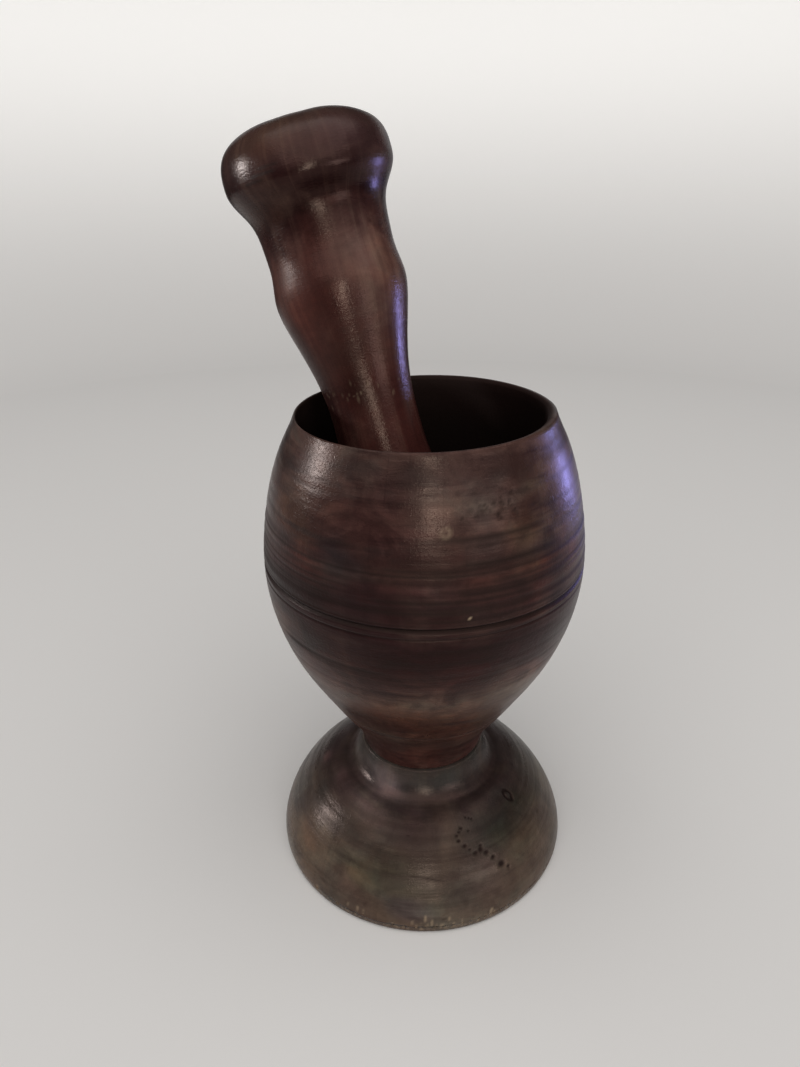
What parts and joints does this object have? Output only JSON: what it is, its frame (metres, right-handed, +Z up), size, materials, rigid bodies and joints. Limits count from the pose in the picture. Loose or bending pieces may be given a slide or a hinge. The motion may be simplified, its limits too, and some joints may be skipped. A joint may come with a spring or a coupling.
{
  "type": "mortar and pestle",
  "caption": "Turned dark wooden mortar with an egg-shaped bowl on a domed pedestal foot, its pestle leaning in the bowl; for cracking nuts and crushing garlic and spices by hand.",
  "frame": {"origin": "centre of the foot's flat underside, on the mortar's axis", "axes": "+Z up along the mortar's axis; the pestle leans towards -X and +Y; -Y is the side seen in the picture"},
  "size_m": [0.1228, 0.1214, 0.2625],
  "materials": {
    "bowl_wood": "varnished, worn",
    "foot_wood": "varnished, worn",
    "pestle_wood": "varnished, worn"
  },
  "bodies": {
    "mortar": {"bowl": "bowl_wood", "foot": "foot_wood"},
    "pestle": {"pestle": "pestle_wood"}
  },
  "joints": [
    {"name": "pestle_lift", "type": "slide", "parent": "mortar", "child": "pestle", "axis": [0, 0, 1], "range_m": [0, 0.125]}
  ]
}
